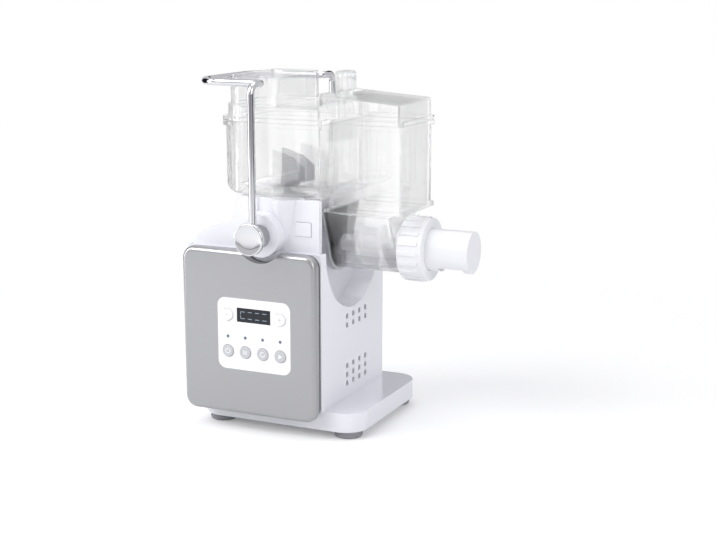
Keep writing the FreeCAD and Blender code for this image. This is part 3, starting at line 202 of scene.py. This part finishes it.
def piece(name, mesh, body, slot_name, finish_name=None, smooth=True):
    item = bpy.data.objects.new(name, mesh)
    bpy.context.collection.objects.link(item)
    mesh.materials.append(FINISHES[finish_name or slot_name])
    for face in mesh.polygons:
        face.use_smooth = smooth
    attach(item, body)
    return item


def lathe(name, profile, centre, axis, body, slot_name):
    """Turned piece: profile points are (radius, distance along the axis)."""
    mesh = bpy.data.meshes.new(name)
    form = bmesh.new()
    turn = Vector((0, 0, 1)).rotation_difference(Vector(axis)).to_matrix()
    angles = [TURN * n / LATHE_STEPS for n in range(LATHE_STEPS)]
    rings = []
    for radius, along in profile:
        if radius == 0:
            points = [(0, 0, along)]
        else:
            points = [(radius * math.cos(a), radius * math.sin(a), along) for a in angles]
        rings.append([form.verts.new(Vector(centre) + turn @ Vector(point)) for point in points])
    for first, second in zip(rings, rings[1:]):
        for n in range(LATHE_STEPS):
            after = (n + 1) % LATHE_STEPS
            if len(first) == 1:
                form.faces.new((first[0], second[n], second[after]))
            elif len(second) == 1:
                form.faces.new((first[n], second[0], first[after]))
            else:
                form.faces.new((first[n], second[n], second[after], first[after]))
    bmesh.ops.recalc_face_normals(form, faces=form.faces)
    form.to_mesh(mesh)
    form.free()
    item = piece(name, mesh, body, slot_name)
    edges = item.modifiers.new("crisp", "EDGE_SPLIT")
    edges.split_angle = CRISP_ANGLE
    return item


def plate(name, outlines, y_front, depth, body, slot_name, finish_name):
    """Flat mark that faces the front: outlines are lists of (x, z) corners."""
    mesh = bpy.data.meshes.new(name)
    form = bmesh.new()
    for outline in outlines:
        front = [form.verts.new((x, y_front, z)) for x, z in outline]
        back = [form.verts.new((x, y_front + depth, z)) for x, z in outline]
        form.faces.new(front)
        form.faces.new(back[::-1])
        for n in range(len(front)):
            after = (n + 1) % len(front)
            form.faces.new((front[n], back[n], back[after], front[after]))
    bmesh.ops.recalc_face_normals(form, faces=form.faces)
    form.to_mesh(mesh)
    form.free()
    item = piece(name, mesh, body, slot_name, finish_name, smooth=False)
    soft = item.modifiers.new("soft", "BEVEL")
    soft.width = MARK_EDGE
    soft.segments = MARK_EDGE_STEPS
    return item


def bar(x, z, width, height):
    """Corners of a rectangle about its middle."""
    return [(x - width / 2, z - height / 2), (x + width / 2, z - height / 2),
            (x + width / 2, z + height / 2), (x - width / 2, z + height / 2)]


def arc_strip(x, z, radius, width, start, end, steps=ARC_STEPS):
    """Quads of a ring between two angles in degrees."""
    strip = []
    for n in range(steps):
        a = math.radians(start + (end - start) * n / steps)
        b = math.radians(start + (end - start) * (n + 1) / steps)
        inner = radius - width / 2
        outer = radius + width / 2
        strip.append([(x + inner * math.cos(a), z + inner * math.sin(a)),
                      (x + outer * math.cos(a), z + outer * math.sin(a)),
                      (x + outer * math.cos(b), z + outer * math.sin(b)),
                      (x + inner * math.cos(b), z + inner * math.sin(b))])
    return strip


# The profiles below are in shares of a piece's radius and of its length along the axis

# Handle: chrome end discs with a raised rim
DISC_PROFILE = [(0, 0.78), (0.55, 0.82), (0.80, 0.90), (0.86, 0.96), (0.90, 1.0), (0.96, 0.98), (1.0, 0.86),
                (1.0, 0.10), (0.97, 0.0), (0, 0)]


def make_discs():
    for side, axis in (("front", (0, -1, 0)), ("rear", (0, 1, 0))):
        node = f"{side}_pivot_disc"
        size = span(node)
        centre = middle(node)
        start = centre - Vector(axis) * size.y / 2
        profile = [(r * size.x / 2, a * size.y) for r, a in DISC_PROFILE]
        item = lathe(f"{side}_disc", profile, start, axis, "handle", "chrome")
        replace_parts(item, node)


# Keys: dished caps with a soft rim, and the mark on each
KEY_PROFILE = [(0, 0.965), (0.55, 0.975), (0.82, 1.0), (0.92, 0.99), (0.985, 0.94), (1.0, 0.85), (1.0, 0.0),
               (0, 0)]
LOWER_KEYS = ("lower_key_1", "lower_key_2", "lower_key_3", "lower_key_4")
UPPER_KEYS = ("upper_key_left", "upper_key_right")
MARK_SUNK = 0.10 * MM
MARK_DEPTH = 0.20 * MM

# Marks in shares of the key's radius, except the pause bars' width in lines and the arcs in degrees
MARK_LINE = 0.13
POWER_RADIUS = 0.40
POWER_ARC = (120, 420)
POWER_STEM_RISE = 0.36
POWER_STEM = 0.42
PAUSE_OFFSET = 0.2
PAUSE_LINES = 1.4
PAUSE_HEIGHT = 0.7
REPEAT_RADIUS = 0.38
REPEAT_ARC = (60, 360)
START_BACK = 0.24
START_TIP = 0.40
START_HALF = 0.38
SIGN_WIDTH = 0.62
PLUS_RISE = 0.19
PLUS_STUB = 0.25


def key_mark(key, x, z, r):
    """Outlines of the power, pause, repeat, start, minus or plus mark."""
    line = MARK_LINE * r
    if key == "lower_key_1":
        stem = bar(x, z + POWER_STEM_RISE * r, line, POWER_STEM * r)
        return arc_strip(x, z, POWER_RADIUS * r, line, *POWER_ARC) + [stem]
    if key == "lower_key_2":
        return [bar(x + side * PAUSE_OFFSET * r, z, line * PAUSE_LINES, PAUSE_HEIGHT * r)
                for side in (-1, 1)]
    if key == "lower_key_3":
        return arc_strip(x, z, REPEAT_RADIUS * r, line, *REPEAT_ARC)
    if key == "lower_key_4":
        back = x - START_BACK * r
        return [[(back, z - START_HALF * r), (x + START_TIP * r, z), (back, z + START_HALF * r)]]
    minus = bar(x, z, SIGN_WIDTH * r, line)
    if key == "upper_key_left":
        return [minus]
    return [minus] + [bar(x, z + side * PLUS_RISE * r, line, PLUS_STUB * r) for side in (1, -1)]


def make_keys():
    for key in LOWER_KEYS + UPPER_KEYS:
        size = span(key)
        centre = middle(key)
        radius = size.x / 2
        back = centre + Vector((0, size.y / 2, 0))
        slot_name, mark = ("grey_key", "icon_white") if key in LOWER_KEYS else ("white_key", "icon_grey")
        profile = [(r * radius, a * size.y) for r, a in KEY_PROFILE]
        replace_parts(lathe(f"{key}_cap", profile, back, (0, -1, 0), key, slot_name), key)
        front = centre.y - size.y / 2
        plate(f"{key}_mark", key_mark(key, centre.x, centre.z, radius), front + MARK_SUNK, MARK_DEPTH, key,
              slot_name, mark)


# Fascia: thin outlines round the upper keys, and the dim figures of the display
PRINT_PROUD = 0.05 * MM
OUTLINE_GAP = 1.5 * MM
OUTLINE_WIDTH = 0.25 * MM
OUTLINE_DEPTH = 0.1 * MM
OUTLINE_STEPS = 64
FIGURES = ("adef", "ad", "ad", "ad")
FIGURE_DEPTH = 0.08 * MM
FIGURE_LINE = 0.16
FIGURE_GAP_LINES = 1.5
FIGURE_PITCH = 1 / 4.6
FIGURE_WIDTH = 1 / 8
FIGURE_HEIGHT = 0.48


def make_fascia_marks():
    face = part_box("control_fascia")[0][1]
    for key in UPPER_KEYS:
        centre = middle(key)
        radius = span(key).x / 2 + OUTLINE_GAP
        plate(f"{key}_outline", arc_strip(centre.x, centre.z, radius, OUTLINE_WIDTH, 0, 360, OUTLINE_STEPS),
              face - PRINT_PROUD, OUTLINE_DEPTH, "root", "grey_key", "icon_grey")


def digit(x, z, w, h, lit):
    """Lit strokes of one figure: a is the top one, d the bottom one, f and e stand on the left."""
    t = FIGURE_LINE * w
    upright = h / 2 - FIGURE_GAP_LINES * t
    strokes = {"a": bar(x, z + h / 2, w, t), "d": bar(x, z - h / 2, w, t),
               "f": bar(x - w / 2, z + h / 4, t, upright), "e": bar(x - w / 2, z - h / 4, t, upright)}
    return [strokes[name] for name in lit]


def make_display():
    low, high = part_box("display_window")
    centre = middle("display_window")
    width = high[0] - low[0]
    height = high[2] - low[2]
    strokes = []
    for n, lit in enumerate(FIGURES):
        x = centre.x + (n - (len(FIGURES) - 1) / 2) * width * FIGURE_PITCH
        strokes += digit(x, centre.z, width * FIGURE_WIDTH, height * FIGURE_HEIGHT, lit)
    plate("display_figures", strokes, low[1] - PRINT_PROUD, FIGURE_DEPTH, "root", "display_black",
          "segment")


# Feet: turned rubber with a groove and a rounded edge
FOOT_PROFILE = [(0, 0.0), (0.84, 0.0), (0.94, 0.05), (0.99, 0.2), (1.0, 0.42), (0.95, 0.50), (0.95, 0.58),
                (1.0, 0.66), (1.0, 1.0), (0, 1.0)]


def make_feet():
    for name in ("foot_front_left", "foot_rear_left", "foot_front_right", "foot_rear_right"):
        size = span(name)
        base = middle(name) - Vector((0, 0, size.z / 2))
        profile = [(r * size.x / 2, a * size.z) for r, a in FOOT_PROFILE]
        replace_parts(lathe(f"{name}_rubber", profile, base, (0, 0, 1), "root", "grey_rubber"), name)


# Studio: pale floor, soft lights, dark flags that only reflections see, and the camera
STUDIO_ROUGHNESS = 0.5
FLOOR_COLOUR = (0.90, 0.90, 0.90)
FLOOR_SIDE = 12
FLOOR_DROP = 0.2 * MM
FLOOR_GLOW = 0.16
FADE_START = 0.22
FADE_END = 0.75
FLAG_COLOUR = (0.02, 0.02, 0.02)

# Place, turn and size of each flag, and name, power, size and place of each lamp
FLAGS = (
    ((-0.75, 0.1, 0.3), (0, UPRIGHT, 0), (0.9, 0.5)),
    ((0.85, -0.15, 0.35), (0, UPRIGHT, 0), (0.9, 0.35)),
    ((-0.15, 0.8, 0.3), (UPRIGHT, 0, 0), (0.4, 0.9)),
    ((0.25, -0.9, 0.45), (UPRIGHT, 0, 0), (0.12, 0.9)),
)
LAMPS = (
    ("key_light", 20, (1.2, 1.2), (-0.9, -1.3, 1.5)),
    ("fill_light", 10, (1.4, 1.0), (1.5, -0.7, 0.9)),
    ("top_light", 10, (1.6, 1.6), (0.1, 0.3, 1.9)),
    ("edge_light", 6, (0.3, 1.2), (-1.2, -0.5, 0.5)),
)
LAMP_AIM = (-0.02, 0, 0.16)
SKY_COLOUR = (0.93, 0.94, 1.0, 1)
SKY_STRENGTH = 0.45
MIRRORED_WHITE = 0.45

# The photograph's viewing angle
CAMERA_PLACE = (0.5609, -1.1817, 0.4266)
CAMERA_PITCH = math.radians(11.925)
CAMERA_TURN = math.radians(24.722)
CAMERA_LENS = 70.21
SENSOR_WIDTH = 36


def studio_material(name, colour):
    material = bpy.data.materials.new(name)
    material.use_nodes = True
    shader = material.node_tree.nodes["Principled BSDF"]
    shader.inputs["Base Color"].default_value = (*colour, 1)
    shader.inputs["Roughness"].default_value = STUDIO_ROUGHNESS
    shader.inputs["Specular IOR Level"].default_value = 0.0
    return material


def larger(tree, first, second):
    node = tree.nodes.new("ShaderNodeMath")
    node.operation = "MAXIMUM"
    tree.links.new(first, node.inputs[0])
    tree.links.new(second, node.inputs[1])
    return node.outputs[0]


def mix(tree, share, first, second):
    node = tree.nodes.new("ShaderNodeMixShader")
    tree.links.new(share, node.inputs["Fac"])
    tree.links.new(first, node.inputs[1])
    tree.links.new(second, node.inputs[2])
    return node.outputs[0]


def floor_material():
    """Lit near the object and white further out, where it is seen directly or through clear plastic."""
    material = studio_material("studio_floor", FLOOR_COLOUR)
    tree = material.node_tree
    lit = tree.nodes["Principled BSDF"].outputs[0]
    place = tree.nodes.new("ShaderNodeTexCoord")
    reach = tree.nodes.new("ShaderNodeVectorMath")
    reach.operation = "LENGTH"
    fade = tree.nodes.new("ShaderNodeMapRange")
    fade.inputs["From Min"].default_value = FADE_START
    fade.inputs["From Max"].default_value = FADE_END
    glow = tree.nodes.new("ShaderNodeEmission")
    glow.inputs["Strength"].default_value = FLOOR_GLOW
    near = tree.nodes.new("ShaderNodeAddShader")
    white = tree.nodes.new("ShaderNodeEmission")
    path = tree.nodes.new("ShaderNodeLightPath")
    tree.links.new(lit, near.inputs[0])
    tree.links.new(glow.outputs[0], near.inputs[1])
    tree.links.new(place.outputs["Object"], reach.inputs[0])
    tree.links.new(reach.outputs["Value"], fade.inputs["Value"])
    seen = mix(tree, fade.outputs["Result"], near.outputs[0], white.outputs[0])
    direct = larger(tree, path.outputs["Is Camera Ray"], path.outputs["Is Transmission Ray"])
    tree.links.new(mix(tree, direct, lit, seen), tree.nodes["Material Output"].inputs["Surface"])
    return material


def sheet(name, width, depth, place, turn, material):
    mesh = bpy.data.meshes.new(name)
    form = bmesh.new()
    bmesh.ops.create_grid(form, x_segments=2, y_segments=2, size=0.5)
    bmesh.ops.scale(form, vec=(width, depth, 1), verts=form.verts)
    form.to_mesh(mesh)
    form.free()
    item = bpy.data.objects.new(name, mesh)
    item.location = place
    item.rotation_euler = turn
    bpy.context.collection.objects.link(item)
    mesh.materials.append(material)
    return item


def lamp(name, power, size, place, aim):
    data = bpy.data.lights.new(name, "AREA")
    data.shape = "RECTANGLE"
    data.size, data.size_y = size
    data.energy = power
    item = bpy.data.objects.new(name, data)
    item.location = place
    item.rotation_euler = (Vector(aim) - Vector(place)).to_track_quat("-Z", "Y").to_euler()
    bpy.context.collection.objects.link(item)


def make_world():
    """Dim soft light that looks white directly and through plastic, and partly white in mirrors."""
    world = bpy.data.worlds.new("studio")
    bpy.context.scene.world = world
    world.use_nodes = True
    tree = world.node_tree
    sky = tree.nodes["Background"]
    sky.inputs["Color"].default_value = SKY_COLOUR
    sky.inputs["Strength"].default_value = SKY_STRENGTH
    white = tree.nodes.new("ShaderNodeBackground")
    white.inputs["Color"].default_value = (1, 1, 1, 1)
    path = tree.nodes.new("ShaderNodeLightPath")
    mirrored = tree.nodes.new("ShaderNodeMath")
    mirrored.operation = "MULTIPLY"
    mirrored.inputs[1].default_value = MIRRORED_WHITE
    tree.links.new(path.outputs["Is Glossy Ray"], mirrored.inputs[0])
    direct = larger(tree, path.outputs["Is Camera Ray"], mirrored.outputs[0])
    share = larger(tree, direct, path.outputs["Is Transmission Ray"])
    surface = tree.nodes["World Output"].inputs["Surface"]
    tree.links.new(mix(tree, share, sky.outputs[0], white.outputs[0]), surface)


def make_studio():
    sheet("studio_floor", FLOOR_SIDE, FLOOR_SIDE, (0, 0, -FLOOR_DROP), (0, 0, 0), floor_material())
    dark = studio_material("studio_flag", FLAG_COLOUR)
    for n, (place, turn, size) in enumerate(FLAGS):
        flag = sheet(f"studio_flag_{n}", *size, place, turn, dark)
        flag.visible_camera = False
        flag.visible_diffuse = False
        flag.visible_transmission = False
        flag.visible_shadow = False
    for name, power, size, place in LAMPS:
        lamp(name, power, size, place, LAMP_AIM)
    make_world()


def make_camera():
    data = bpy.data.cameras.new("camera")
    data.lens = CAMERA_LENS
    data.sensor_width = SENSOR_WIDTH
    camera = bpy.data.objects.new("camera", data)
    camera.location = CAMERA_PLACE
    camera.rotation_euler = (UPRIGHT - CAMERA_PITCH, 0, CAMERA_TURN)
    bpy.context.collection.objects.link(camera)
    bpy.context.scene.camera = camera
    bpy.context.scene.view_settings.view_transform = "Standard"


make_discs()
make_keys()
make_fascia_marks()
make_display()
make_feet()
make_studio()
make_camera()
